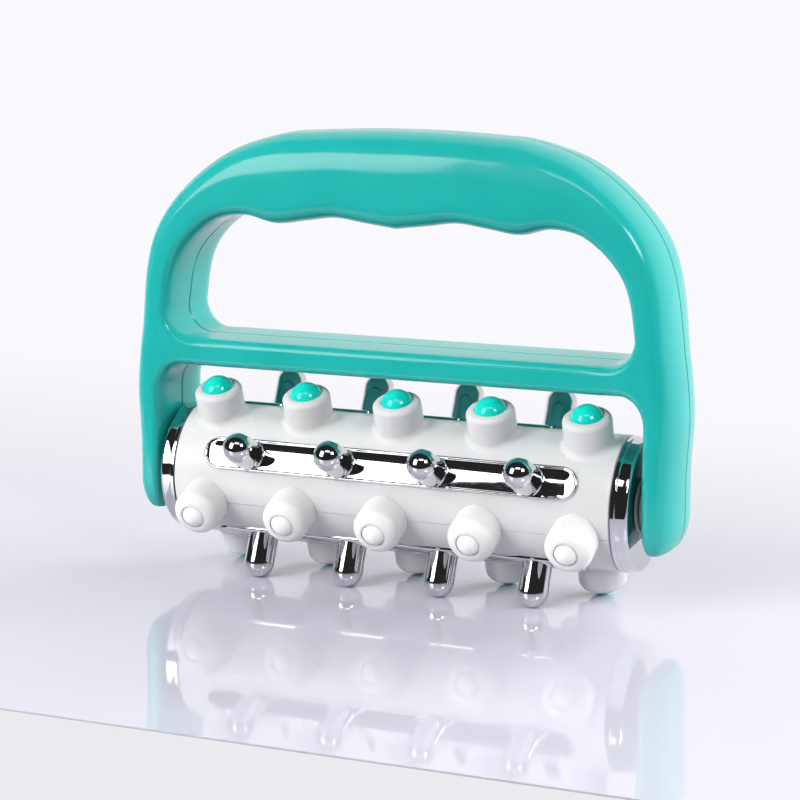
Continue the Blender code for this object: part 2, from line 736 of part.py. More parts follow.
def make_handle_shell(name, side, handle):
    """side is -1 for the front shell and 1 for the rear one."""
    stations = mirrored(smooth_between(arm_stations() + arch_stations(), PATH_STEPS))
    mesh = loft_mesh(name, [bar_section(s, side, 0.0, BAR_STEPS) for s in stations])
    shade_round(mesh)
    shell = add_object(name, mesh, TEAL_PLASTIC, handle)
    crossbar = add_tool(name + "_crossbar", crossbar_mesh(name + "_crossbar", side), handle)
    join_to_shell(shell, crossbar)
    hollow_stations = [s for s in stations if s[1] > ARM_SOLID_RISE]
    hollow = loft_mesh(
        name + "_hollow", [bar_section(s, side, HANDLE_WALL, HOLLOW_STEPS) for s in hollow_stations]
    )
    cut_from_shell(shell, add_tool(name + "_hollow", hollow, handle))
    add_crossbar_hollow(shell, side, handle)
    for place, x, z in screw_places():
        if "arm" not in place:
            low, high = sorted((-side * HANDLE_WALL / 4, side * BOSS_DEPTH))
            boss = rod_mesh(f"{name}_boss_{place}", BOSS_RADIUS, low, high, ROUND_STEPS)
            join_to_shell(shell, tool_along_y(boss.name, boss, handle, x, z))
        cut_screw_hole(shell, side, handle, place, x, z)
    bore_half = AXLE_HALF + FIT_GAP
    bore = rod_mesh(name + "_bore", AXLE_RADIUS + FIT_GAP, -bore_half, bore_half, ROUND_STEPS)
    cut_from_shell(shell, add_tool(bore.name, bore, handle, rotation=(0, math.pi / 2, 0)))
    reach = 2 * ARM_OUTER_X
    low_y, high_y = sorted((-side * reach, side * PARTING_GAP / 2))
    other_half = box_mesh(name + "_other_half", (-reach, low_y, -reach), (reach, high_y, reach))
    cut_from_shell(shell, add_tool(other_half.name, other_half, handle))


def add_crossbar_hollow(shell, side, handle):
    low_y, high_y = sorted((-side * HANDLE_WALL, side * (CROSSBAR_HALF_DEPTH - HANDLE_WALL)))
    half = OPENING_FOOT_X - CORNER_ABOVE
    low = (-half, low_y, CROSSBAR_BOTTOM + HANDLE_WALL)
    high = (half, high_y, CROSSBAR_TOP - HANDLE_WALL)
    tag = shell.name + "_crossbar_hollow"
    cut_from_shell(shell, add_tool(tag, box_mesh(tag, low, high), handle))


def cut_screw_hole(shell, side, handle, place, x, z):
    tag = f"{shell.name}_{place}"
    hole_radius = SCREW_RADIUS + FIT_GAP
    if side < 0:
        depth = SCREW_LENGTH - SCREW_SEAT + FIT_GAP
        hole = rod_mesh(tag + "_pilot", hole_radius, -depth, HANDLE_WALL, SMALL_STEPS)
        cut_from_shell(shell, tool_along_y(hole.name, hole, handle, x, z))
        return
    head_radius = SCREW_HEAD_RADIUS + FIT_GAP
    seat = SCREW_SEAT - FIT_GAP
    outside = 2 * HANDLE_HALF_DEPTH
    profile = [
        (0, outside), (head_radius, outside), (head_radius, seat),
        (hole_radius, seat), (hole_radius, -HANDLE_WALL), (0, -HANDLE_WALL),
    ]
    hole = turned_tool(tag + "_hole", profile, SMALL_STEPS, handle, (x, 0, z), (-math.pi / 2, 0, 0))
    cut_from_shell(shell, hole)


def make_screws(handle):
    head_top = SCREW_SEAT + SCREW_HEAD_HEIGHT
    tip = SCREW_SEAT - SCREW_LENGTH
    cone = 2 * SCREW_RADIUS
    profile = [
        (0, head_top),
        (SCREW_TOP_RADIUS, head_top),
        (SCREW_HEAD_RADIUS, head_top - SCREW_CROWN),
        (SCREW_HEAD_RADIUS, SCREW_SEAT),
        (SCREW_RADIUS, SCREW_SEAT),
        (SCREW_RADIUS, tip + cone),
        (0, tip),
    ]
    screw = turned_tool("handle_screw", profile, SMALL_STEPS)
    half_width = RECESS_WIDTH / 2
    half_length = RECESS_LENGTH / 2
    low = head_top - RECESS_DEPTH
    high = head_top + RECESS_DEPTH
    for number, (x, y) in enumerate(((half_length, half_width), (half_width, half_length)), 1):
        slot = box_mesh(f"handle_screw_slot_{number}", (-x, -y, low), (x, y, high))
        combine(screw, add_tool(slot.name, slot), "DIFFERENCE")
    mesh = finished_mesh(screw)
    shade_round(mesh)
    for place, x, z in screw_places():
        add_object("handle_screw_" + place, mesh, STEEL, handle, (x, 0, z), (-math.pi / 2, 0, 0))


def add_axis(name, rotation):
    """An empty in the middle of the axle, which holds what is fixed to it."""
    axis = bpy.data.objects.new(name, None)
    PARTS.objects.link(axis)
    axis.location = (0, 0, AXLE_HEIGHT)
    axis.rotation_euler = rotation
    return axis


clear_scene()
PARTS = new_collection(OBJECT_NAME)
CUTTERS = new_collection("cutters")
TEAL_PLASTIC = make_material("teal_plastic", (0.03, 0.52, 0.46), 0.22)
WHITE_PLASTIC = make_material("white_plastic", (0.80, 0.80, 0.80), 0.35)
WHITE_RUBBER = make_material("white_rubber", (0.86, 0.85, 0.83), 0.40)
WHITE_TIP = make_material("white_tip", (0.90, 0.90, 0.89), 0.30)
TEAL_BEAD = make_material("teal_bead", (0.0, 0.60, 0.48), 0.12)
CHROME = make_material("chrome", (0.85, 0.85, 0.86), 0.05, 1.0)
STEEL = make_material("steel", (0.55, 0.56, 0.58), 0.30, 1.0)
NYLON = make_material("nylon", (0.82, 0.81, 0.76), 0.50)

HANDLE_AXIS = add_axis("handle_axis", (0, 0, 0))
DRUM_AXIS = add_axis("drum_axis", (REST_ANGLE, 0, 0))
make_handle_shell("handle_front_shell", -1, HANDLE_AXIS)
make_handle_shell("handle_rear_shell", 1, HANDLE_AXIS)
make_screws(HANDLE_AXIS)
make_axle(HANDLE_AXIS)
make_drum_shells(DRUM_AXIS)
make_beads(DRUM_AXIS)
make_white_nubs(DRUM_AXIS)
make_chrome_strips(DRUM_AXIS)
make_end_caps(DRUM_AXIS)
bpy.context.view_layer.update()
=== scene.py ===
import math

import bmesh
import bpy
from mathutils import Matrix, Vector


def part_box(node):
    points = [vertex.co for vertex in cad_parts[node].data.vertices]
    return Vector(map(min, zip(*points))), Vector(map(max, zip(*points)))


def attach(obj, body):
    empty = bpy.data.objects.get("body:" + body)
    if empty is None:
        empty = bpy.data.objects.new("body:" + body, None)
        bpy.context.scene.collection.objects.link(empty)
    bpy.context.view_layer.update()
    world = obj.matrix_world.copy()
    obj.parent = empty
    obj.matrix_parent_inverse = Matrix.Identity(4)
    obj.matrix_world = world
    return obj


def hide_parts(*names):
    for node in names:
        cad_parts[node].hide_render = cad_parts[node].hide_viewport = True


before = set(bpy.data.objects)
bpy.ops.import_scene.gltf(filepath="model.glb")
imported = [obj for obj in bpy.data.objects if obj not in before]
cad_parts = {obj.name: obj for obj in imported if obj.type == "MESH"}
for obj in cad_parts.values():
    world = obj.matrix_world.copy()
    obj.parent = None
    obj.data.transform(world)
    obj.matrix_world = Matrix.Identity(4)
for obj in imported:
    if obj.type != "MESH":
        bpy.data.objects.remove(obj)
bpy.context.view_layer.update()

# Drum and what stands on it, in metres from the drum's axis
DRUM_RADIUS = 0.0156
DRUM_WALL = 0.0024
DRUM_HALF = 0.0539
DRUM_END_WALL = 0.0027
DRUM_EDGE = 0.0004
PARTING = 0.00006           # half the gap between the drum's halves
FIT_GAP = 0.0003
NUB_PITCH = 0.023
ROW_STEP = math.radians(45)
POST_RADIUS = 0.0057
POST_SPREAD = 0.0014        # of the rounded foot, on to the drum
POST_TOP = 0.0224
POST_LIP = 0.0014
BEAD_RADIUS = 0.004
BEAD_DISTANCE = 0.021
BEAD_GAP = 0.00008
NUB_RADIUS = 0.0056
NUB_TOP = 0.0229
NUB_ROUNDING = 0.0028
NUB_SEAT = 0.0142
NUB_HOLE_DEPTH = 0.0059
TIP_RADIUS = 0.00275
TIP_TOP = 0.024
TIP_DOME = 0.0013
STRIP_LENGTH = 0.0925
STRIP_WIDTH = 0.0079
STRIP_UNDER = 0.0151
STRIP_FLAT = 0.01606        # the plate inside its rim
STRIP_RIM = (               # inset and rise of each step across the rim
    (0.00010, 0.00012), (0.00016, 0.00007), (0.00016, 0.0), (0.00014, -0.00008),
    (0.00010, -0.00012), (0.00012, -0.00004),
)
STRIP_RIM_SIDE = 0.00101    # from the underside to the foot of the rim's rounding
PIN_RADIUS = 0.0036
PIN_CENTRE = 0.0224
PIN_FOOT = 0.0004
CAP_INNER = 0.0542
CAP_OUTER = 0.0580
CAP_RIM_WIDTH = 0.0009
CAP_RIM_STEP = 0.0004
CAP_EDGE = 0.0009
CAP_SPIGOT = 0.009
BUSH_RADIUS = 0.00515
BUSH_BORE = 0.00265
BUSH_FLANGE_WIDTH = 0.0011
BUSH_FLANGE = 0.0009

# Handle, from the axle
ARM_INNER = 0.0595
ARM_OUTER = 0.0677
ARM_DROP = 0.0096
ARM_END_ROUND = 0.008
ARM_END_THINNING = 0.0044
ARM_END_LEAN = 0.0014
ARM_END_TAPER = 0.0032
ARM_FOOT_TAPER = 0.0006
ARM_WAIST_TAPER = 0.0006
HANDLE_DEPTH = 0.0122
CROSSBAR_LOW = 0.0263
CROSSBAR_TOP = 0.0330
CROSSBAR_DEPTH = 0.011
CROSSBAR_EDGE = 0.0018
CROSSBAR_CROWN = 0.0001     # of its upper and lower faces, towards the front and the back
CORNER_BELOW = 0.0055
CORNER_ABOVE = 0.0063
OPENING_FOOT = 0.0576
OPENING_HEIGHT = 0.0287
GRIP_RISE = 0.050
GRIP_CROWN = 0.145
GRIP_SHARE = 0.44
FINGER_PITCH = 0.030
FINGER_DEPTH = 0.00095
SHOULDER_SHAPE = (          # inner x and rise, outer x and rise, as shares of the above
    (1.003, 0.060, 0.978, 0.050),
    (0.988, 0.280, 0.967, 0.179),
    (0.974, 0.470, 0.951, 0.327),
    (0.948, 0.638, 0.920, 0.480),
    (0.905, 0.770, 0.873, 0.600),
    (0.841, 0.895, 0.801, 0.716),
    (0.760, 0.992, 0.705, 0.826),
    (0.642, 1.022, 0.596, 0.910),
)
INNER_SQUARENESS = 5.0
ARM_SQUARENESS = 2.15
GRIP_SQUARENESS = 3.0
CROWN_PLACE = 0.45
HANDLE_PARTING = 0.00012    # half the gap between the handle's halves
GROOVE_EDGE = 0.00022       # chamfer on each side of it

# Handle screws
SCREW_RADIUS = 0.0013
SCREW_HEAD = 0.0025
SCREW_HEAD_HEIGHT = 0.0019
SCREW_LENGTH = 0.0145
SCREW_SEAT = 0.0065
SCREW_WELL = 0.0028
RECESS_WIDTH = 0.0007
RECESS_LENGTH = 0.0028
RECESS_DEPTH = 0.0011

# Fineness
ROUND_STEPS = 64
DRUM_STEPS = 256
ARC_STEPS = 8
PATH_STEPS = 7
SECTION_STEPS = 16
STRIP_ROWS = 17
STRIP_COLUMNS = 31
FRONT_ROW = 11              # first row of the bar's section that lies on its front face


# Places

def middle(node):
    low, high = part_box(node)
    return (Vector(low) + Vector(high)) / 2


AXLE = middle("axle")
BEAD_ARM = middle("teal_bead_upper_1") - AXLE
REST_ANGLE = math.atan2(-BEAD_ARM.y, BEAD_ARM.z)
DRUM_FRAME = Matrix.Translation((0, 0, AXLE.z)) @ Matrix.Rotation(REST_ANGLE, 4, "X")
NUB_PLACES = [(number, (number - 3) * NUB_PITCH) for number in range(1, 6)]
PIN_PLACES = [(number - 1.5) * NUB_PITCH for number in range(4)]


def on_drum(x, turn):
    return DRUM_FRAME @ Matrix.Rotation(turn, 4, "X") @ Matrix.Translation((x, 0, 0))


# Modelling

def start_fresh():
    bpy.ops.object.select_all(action="DESELECT")


def edit_all(piece):
    start_fresh()
    bpy.context.view_layer.objects.active = piece
    piece.select_set(True)
    bpy.ops.object.mode_set(mode="EDIT")
    bpy.ops.mesh.select_all(action="SELECT")


def leave_edit(piece, angle=40):
    bpy.ops.object.mode_set(mode="OBJECT")
    bpy.ops.object.shade_smooth_by_angle(angle=math.radians(angle))
    return piece


def arc(centre, radius, start, end, steps=ARC_STEPS):
    """Points along an arc, with its angles in degrees."""
    points = []
    for i in range(steps + 1):
        angle = math.radians(start + (end - start) * i / steps)
        points.append((centre[0] + radius * math.cos(angle), centre[1] + radius * math.sin(angle)))
    return points


def draw_line(name, points):
    """A line through points of radius and height, drawn one point after another."""
    start_fresh()
    bpy.ops.mesh.primitive_plane_add(size=0.001)
    piece = bpy.context.object
    piece.name = name
    bpy.ops.object.mode_set(mode="EDIT")
    bpy.ops.mesh.select_all(action="SELECT")
    bpy.ops.mesh.merge(type="CENTER")
    bpy.ops.transform.translate(value=(points[0][0], 0, points[0][1]))
    for here, there in zip(points, points[1:]):
        step = (there[0] - here[0], 0, there[1] - here[1])
        bpy.ops.mesh.extrude_region_move(TRANSFORM_OT_translate={"value": step})
    return piece


def turned(name, points, steps=ROUND_STEPS, angle=40):
    """A solid turned about Z from the outline of its section."""
    closed = points[0][0] > 0
    piece = draw_line(name, points + points[:1] if closed else points)
    bpy.ops.mesh.select_all(action="SELECT")
    bpy.ops.mesh.spin(steps=steps, angle=math.tau, center=(0, 0, 0), axis=(0, 0, 1))
    bpy.ops.mesh.select_all(action="SELECT")
    bpy.ops.mesh.remove_doubles(threshold=0.000002)
    bpy.ops.mesh.normals_make_consistent(inside=False)
    return leave_edit(piece, angle)


def drape(piece, below):
    """Lowers what lies below a height, so that a flat foot follows the drum's round skin."""
    for vertex in piece.data.vertices:
        if vertex.co.z < below:
            fall = DRUM_RADIUS - math.sqrt(DRUM_RADIUS ** 2 - vertex.co.y ** 2)
            vertex.co.z -= fall


def cut(piece, tool, operation="DIFFERENCE", solver="MANIFOLD"):
    modifier = piece.modifiers.new(operation.lower(), "BOOLEAN")
    modifier.operation = operation
    modifier.solver = solver
    modifier.object = tool
    start_fresh()
    bpy.context.view_layer.objects.active = piece
    piece.select_set(True)
    bpy.ops.object.modifier_apply(modifier=modifier.name)
    bpy.data.objects.remove(tool, do_unlink=True)


def joined(pieces, name):
    start_fresh()
    for piece in pieces:
        piece.select_set(True)
    bpy.context.view_layer.objects.active = pieces[0]
    bpy.ops.object.join()
    pieces[0].name = name
    return pieces[0]


def settle(piece):
    """Puts a piece's place into its mesh."""
    start_fresh()
    bpy.context.view_layer.objects.active = piece
    piece.select_set(True)
    bpy.ops.object.transform_apply(location=True, rotation=True, scale=True)


def placed_copy(pattern, name, place):
    piece = pattern.copy()
    piece.data = pattern.data.copy()
    piece.name = name
    bpy.context.scene.collection.objects.link(piece)
    piece.matrix_world = place
    settle(piece)
    return piece


def finish_piece(piece, body, node, material):
    piece.data.materials.clear()
    piece.data.materials.append(material)
    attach(piece, body)
    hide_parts(node)


def remove_pattern(pattern):
    bpy.data.objects.remove(pattern, do_unlink=True)


# Materials

def new_material(name, colour, roughness, metallic=0.0):
    material = bpy.data.materials.new(name)
    material.use_nodes = True
    shader = material.node_tree.nodes["Principled BSDF"]
    shader.inputs["Base Color"].default_value = (*colour, 1)
    shader.inputs["Roughness"].default_value = roughness
    shader.inputs["Metallic"].default_value = metallic
    return material, shader


def add_noise(material, size, detail=3.0, stretch=(1, 1, 1)):
    """Noise whose patches are about size metres across."""
    nodes, links = material.node_tree.nodes, material.node_tree.links
    place = nodes.new("ShaderNodeTexCoord")
    mapping = nodes.new("ShaderNodeMapping")
    mapping.inputs["Scale"].default_value = stretch
    noise = nodes.new("ShaderNodeTexNoise")
    noise.inputs["Scale"].default_value = 1 / size
    noise.inputs["Detail"].default_value = detail
    links.new(place.outputs["Object"], mapping.inputs["Vector"])
    links.new(mapping.outputs["Vector"], noise.inputs["Vector"])
    return noise.outputs["Fac"]


def vary_roughness(material, shader, noise, low, high):
    nodes, links = material.node_tree.nodes, material.node_tree.links
    spread = nodes.new("ShaderNodeMapRange")
    spread.inputs["From Min"].default_value = 0.3
    spread.inputs["From Max"].default_value = 0.7
    spread.inputs["To Min"].default_value = low
    spread.inputs["To Max"].default_value = high
    links.new(noise, spread.inputs["Value"])
    links.new(spread.outputs["Result"], shader.inputs["Roughness"])


def vary_colour(material, shader, noise, first, second):
    nodes, links = material.node_tree.nodes, material.node_tree.links
    ramp = nodes.new("ShaderNodeValToRGB")
    ramp.color_ramp.elements[0].position = 0.3
    ramp.color_ramp.elements[1].position = 0.7
    ramp.color_ramp.elements[0].color = (*first, 1)
    ramp.color_ramp.elements[1].color = (*second, 1)
    links.new(noise, ramp.inputs["Fac"])
    links.new(ramp.outputs["Color"], shader.inputs["Base Color"])


def add_bump(material, shader, layers):
    """Each layer is a noise, a height in metres and a strength."""
    nodes, links = material.node_tree.nodes, material.node_tree.links
    under = None
    for noise, height, strength in layers:
        bump = nodes.new("ShaderNodeBump")
        bump.inputs["Distance"].default_value = height
        bump.inputs["Strength"].default_value = strength
        links.new(noise, bump.inputs["Height"])
        if under is not None:
            links.new(under, bump.inputs["Normal"])
        under = bump.outputs["Normal"]
    links.new(under, shader.inputs["Normal"])


def make_teal_plastic():
    material, shader = new_material("glossy_teal_plastic", (0.02, 0.50, 0.44), 0.15)
    broad = add_noise(material, 0.025)
    fine = add_noise(material, 0.0006, 2.0)
    vary_colour(material, shader, broad, (0.011, 0.35, 0.325), (0.018, 0.39, 0.36))
    vary_roughness(material, shader, add_noise(material, 0.004, 4.0), 0.10, 0.16)
    add_bump(material, shader, ((broad, 0.0004, 0.10), (fine, 0.000008, 0.25)))
    return material


def make_white_plastic():
    material, shader = new_material("white_moulded_plastic", (0.66, 0.66, 0.66), 0.25)
    shader.inputs["Specular IOR Level"].default_value = 0.3
    broad = add_noise(material, 0.02, 2.0)
    vary_colour(material, shader, broad, (0.58, 0.58, 0.585), (0.61, 0.61, 0.615))
    vary_roughness(material, shader, add_noise(material, 0.002, 4.0), 0.20, 0.28)
    add_bump(material, shader, (
        (broad, 0.0003, 0.05), (add_noise(material, 0.0005, 2.0), 0.000004, 0.3),
    ))
    return material


def make_white_rubber():
    material, shader = new_material("white_soft_plastic", (0.80, 0.80, 0.78), 0.3)
    shader.inputs["Subsurface Weight"].default_value = 0.25
    shader.inputs["Subsurface Radius"].default_value = (0.0012, 0.0010, 0.0008)
    shader.inputs["Subsurface Scale"].default_value = 1.0
    vary_colour(material, shader, add_noise(material, 0.003), (0.70, 0.70, 0.69), (0.74, 0.74, 0.73))
    vary_roughness(material, shader, add_noise(material, 0.0015, 4.0), 0.30, 0.42)
    add_bump(material, shader, ((add_noise(material, 0.0003, 2.0), 0.00001, 0.3),))
    return material


def make_white_tip():
    material, shader = new_material("white_tip_plastic", (0.92, 0.92, 0.91), 0.25)
    vary_colour(material, shader, add_noise(material, 0.002), (0.76, 0.76, 0.75), (0.80, 0.80, 0.79))
    vary_roughness(material, shader, add_noise(material, 0.001, 4.0), 0.18, 0.30)
    return material


def make_teal_bead():
    material, shader = new_material("polished_teal_bead", (0.005, 0.60, 0.50), 0.08)
    vary_colour(material, shader, add_noise(material, 0.002), (0.004, 0.54, 0.45), (0.008, 0.66, 0.55))
    vary_roughness(material, shader, add_noise(material, 0.001, 4.0), 0.05, 0.12)
    shader.inputs["Coat Weight"].default_value = 0.3
    return material


def make_chrome():
    material, shader = new_material("bright_chrome", (0.76, 0.76, 0.78), 0.04, 1.0)
    vary_roughness(material, shader, add_noise(material, 0.003, 5.0), 0.02, 0.07)
    vary_colour(material, shader, add_noise(material, 0.006), (0.66, 0.665, 0.69), (0.71, 0.71, 0.72))
    add_bump(material, shader, (
        (add_noise(material, 0.004), 0.00006, 0.10), (add_noise(material, 0.0005, 2.0), 0.000003, 0.2),
    ))
    return material


def make_steel():
    material, shader = new_material("zinc_plated_steel", (0.56, 0.57, 0.59), 0.3, 1.0)
    vary_colour(material, shader, add_noise(material, 0.001), (0.48, 0.49, 0.52), (0.62, 0.63, 0.64))
    vary_roughness(material, shader, add_noise(material, 0.0005, 4.0), 0.22, 0.42)
    add_bump(material, shader, ((add_noise(material, 0.0002, 3.0), 0.00001, 0.4),))
    return material


def make_nylon():
    material, shader = new_material("natural_nylon", (0.80, 0.79, 0.73), 0.5)
    vary_colour(material, shader, add_noise(material, 0.002), (0.77, 0.76, 0.70), (0.83, 0.82, 0.77))
    vary_roughness(material, shader, add_noise(material, 0.0008, 4.0), 0.42, 0.58)
    return material


# Drum

def bead_post():
    """A post with a socket for its bead, and a foot that spreads on to the drum."""
    socket = BEAD_RADIUS + BEAD_GAP
    mouth = math.degrees(math.asin((POST_TOP - BEAD_DISTANCE) / socket))
    lip = arc((POST_RADIUS - POST_LIP, POST_TOP - POST_LIP), POST_LIP, 90, 0)
    skin = DRUM_RADIUS + 0.00002
    foot = arc((POST_RADIUS + POST_SPREAD, skin + POST_SPREAD), POST_SPREAD, 180, 270, 12)
    sunk = DRUM_RADIUS - DRUM_WALL / 2
    points = arc((0, BEAD_DISTANCE), socket, -90, mouth, 16) + lip + foot + [
        (POST_RADIUS + POST_SPREAD, sunk), (0, sunk)
    ]
    post = turned("bead_post", points)
    drape(post, skin + POST_SPREAD + 0.0001)
    return post


def half_tube():
    """The upper half of the drum's tube, turned from its section about Z and laid along X."""
    end, rim = DRUM_HALF, DRUM_RADIUS - DRUM_EDGE
    inner, inner_end, mouth = DRUM_RADIUS - DRUM_WALL, DRUM_HALF - DRUM_END_WALL, CAP_SPIGOT + FIT_GAP
    section = (
        arc((rim, DRUM_EDGE - end), DRUM_EDGE, -90, 0, 4)
        + arc((rim, end - DRUM_EDGE), DRUM_EDGE, 0, 90, 4)
        + [(mouth, end), (mouth, inner_end), (inner, inner_end)]
        + [(inner, -inner_end), (mouth, -inner_end), (mouth, -end)]
    )
    tube = draw_line("half_tube", section + section[:1])
    bpy.ops.mesh.select_all(action="SELECT")
    bpy.ops.mesh.spin(steps=DRUM_STEPS // 2, angle=math.pi, center=(0, 0, 0), axis=(0, 0, 1))
    bpy.ops.mesh.select_all(action="SELECT")
    bpy.ops.mesh.remove_doubles(threshold=0.000002)
    bpy.ops.mesh.fill_holes(sides=0)
    bpy.ops.mesh.select_all(action="SELECT")
    bpy.ops.mesh.normals_make_consistent(inside=False)
    leave_edit(tube, 30)
    low = min(vertex.co.y for vertex in tube.data.vertices)
    turn = math.pi if low < -DRUM_WALL else 0
    laid = Matrix(((0, 0, 1, 0), (1, 0, 0, 0), (0, 1, 0, 0), (0, 0, 0, 1)))
    tube.matrix_world = Matrix.Translation((0, 0, PARTING)) @ laid @ Matrix.Rotation(turn, 4, "Z")
    settle(tube)
    return tube


def stadium_block(name, length, width, low, rings):
    """A flat block with round ends, built up from its underside and cut into rows along its length."""
    start_fresh()
    bpy.ops.mesh.primitive_circle_add(vertices=96, radius=width / 2, fill_type="NGON", location=(0, 0, low))
    block = bpy.context.object
    block.name = name
    settle(block)
    spread = (length - width) / 2
    for vertex in block.data.vertices:
        if abs(vertex.co.x) > 1e-6:
            vertex.co.x += math.copysign(spread, vertex.co.x)
    edit_all(block)
    if rings[0][0] == 0:
        bpy.ops.mesh.extrude_region_move(TRANSFORM_OT_translate={"value": (0, 0, rings[0][1])})
        rings = rings[1:]
    for inset, rise in rings:
        bpy.ops.mesh.inset(thickness=inset, depth=rise)
    bpy.ops.mesh.select_all(action="SELECT")
    bpy.ops.mesh.normals_make_consistent(inside=False)
    cuts = ((width, STRIP_ROWS, Vector((0, 1, 0))), (length, STRIP_COLUMNS, Vector((1, 0, 0))))
    for size, count, direction in cuts:
        for i in range(1, count):
            bpy.ops.mesh.select_all(action="SELECT")
            bpy.ops.mesh.bisect(plane_co=direction * size * (i / count - 0.5), plane_no=direction)
    return leave_edit(block, 50)


def drum_shell():
    """The upper half of the drum with its five posts, in the drum's own frame."""
    post = bead_post()
    posts = [placed_copy(post, "post_copy", Matrix.Translation((x, 0, 0))) for number, x in NUB_PLACES]
    remove_pattern(post)
    return joined([half_tube()] + posts, "drum_half")


def make_drum_shells(material):
    pattern = drum_shell()
    for name, turn in (("upper", 0), ("lower", math.pi)):
        shell = placed_copy(pattern, "drum_half_" + name, on_drum(0, turn))
        finish_piece(shell, "drum", "drum_shell_" + name, material)
    remove_pattern(pattern)


def make_beads(material):
    pattern = turned("bead", arc((0, BEAD_DISTANCE), BEAD_RADIUS, 90, -90, 32))
    for row, turn in (("upper", 0), ("lower", math.pi)):
        for number, x in NUB_PLACES:
            bead = placed_copy(pattern, f"bead_{row}_{number}", on_drum(x, turn))
            finish_piece(bead, "drum", f"teal_bead_{row}_{number}", material)
    remove_pattern(pattern)


def make_nubs(rubber, tip_plastic):
    hole = TIP_RADIUS + FIT_GAP / 3
    floor = NUB_TOP - NUB_HOLE_DEPTH
    lip = 0.00025
    mouth = arc((hole + lip, NUB_TOP - lip), lip, 180, 90, 4)
    round_end = arc((NUB_RADIUS - NUB_ROUNDING, NUB_TOP - NUB_ROUNDING), NUB_ROUNDING, 90, 0, 14)
    low = NUB_SEAT + 0.00005
    nub = turned("nub", [(0, floor), (hole, floor)] + mouth + round_end + [(NUB_RADIUS, low), (0, low)])
    ball = (TIP_RADIUS ** 2 + TIP_DOME ** 2) / (2 * TIP_DOME)
    spread = math.degrees(math.asin(TIP_RADIUS / ball))
    dome = arc((0, TIP_TOP - ball), ball, 90, 90 - spread + 6, 12)
    edge = [(TIP_RADIUS - 0.00004, TIP_TOP - TIP_DOME - 0.00002), (TIP_RADIUS, TIP_TOP - TIP_DOME - 0.0002)]
    tip = turned("tip", dome + edge + [(TIP_RADIUS, floor + FIT_GAP), (0, floor + FIT_GAP)])
    for row, turn in (("front", math.pi / 2), ("rear", -math.pi / 2)):
        for number, x in NUB_PLACES:
            place = on_drum(x, turn)
            knob = placed_copy(nub, f"nub_{row}_{number}", place)
            finish_piece(knob, "drum", f"white_nub_{row}_{number}", rubber)
            button = placed_copy(tip, f"tip_{row}_{number}", place)
            finish_piece(button, "drum", f"nub_tip_{row}_{number}", tip_plastic)
    remove_pattern(nub)
    remove_pattern(tip)


def chrome_pin():
    skin = STRIP_FLAT + 0.00001
    end = arc((0, PIN_CENTRE), PIN_RADIUS, 90, 0, 16)
    foot = arc((PIN_RADIUS + PIN_FOOT, skin + PIN_FOOT), PIN_FOOT, 180, 270, 5)
    low = STRIP_UNDER + 0.0004
    pin = turned("pin", end + foot + [(PIN_RADIUS + PIN_FOOT - 0.0001, low), (0, low)])
    drape(pin, skin + 2 * PIN_FOOT)
    return pin


def make_strips(material):
    rings = [(0, STRIP_RIM_SIDE)] + list(STRIP_RIM)
    plate = stadium_block("plate", STRIP_LENGTH, STRIP_WIDTH, STRIP_UNDER, rings)
    drape(plate, 1)
    pin = chrome_pin()
    pins = [placed_copy(pin, "pin_copy", Matrix.Translation((x, 0, 0))) for x in PIN_PLACES]
    remove_pattern(pin)
    pattern = joined([plate] + pins, "strip")
    for name, turn in (
        ("upper_front", ROW_STEP), ("upper_rear", -ROW_STEP),
        ("lower_front", math.pi - ROW_STEP), ("lower_rear", math.pi + ROW_STEP),
    ):
        strip = placed_copy(pattern, "strip_" + name, on_drum(0, turn))
        finish_piece(strip, "drum", "chrome_strip_" + name, material)
    remove_pattern(pattern)


def make_caps(chrome, nylon):
    bore = BUSH_RADIUS + FIT_GAP
    spigot_end = DRUM_HALF - DRUM_END_WALL
    band = DRUM_RADIUS - CAP_RIM_STEP
    rim = CAP_INNER + CAP_RIM_WIDTH
    soft = 0.00018
    points = (
        [(bore, CAP_OUTER)]
        + arc((band - CAP_EDGE, CAP_OUTER - CAP_EDGE), CAP_EDGE, 90, 0, 10)
        + arc((band + soft, rim + soft), soft, 180, 270, 3)
        + arc((DRUM_RADIUS - soft, rim - soft), soft, 90, 0, 4)
        + [(DRUM_RADIUS, CAP_INNER), (CAP_SPIGOT, CAP_INNER), (CAP_SPIGOT, spigot_end), (bore, spigot_end)]
    )
    cap = turned("cap", points, 128)
    flange_low = CAP_OUTER + FIT_GAP
    flange_top = flange_low + BUSH_FLANGE
    flange = BUSH_RADIUS + BUSH_FLANGE_WIDTH
    soft = 0.0002
    points = (
        [(BUSH_BORE, flange_top)] + arc((flange - soft, flange_top - soft), soft, 90, 0, 4)
        + [(flange, flange_low), (BUSH_RADIUS, flange_low)]
        + [(BUSH_RADIUS, spigot_end), (BUSH_BORE, spigot_end)]
    )
    bush = turned("bush", points)
    for side, turn in (("left", -math.pi / 2), ("right", math.pi / 2)):
        place = DRUM_FRAME @ Matrix.Rotation(turn, 4, "Y")
        finish_piece(placed_copy(cap, "cap_" + side, place), "drum", "end_cap_" + side, chrome)
        finish_piece(placed_copy(bush, "bearing_" + side, place), "drum", "bush_" + side, nylon)
    remove_pattern(cap)
    remove_pattern(bush)


# Handle. Its bar changes section all the way round and runs into the crossbar without a seam,
# so its skin is laid down row by row.

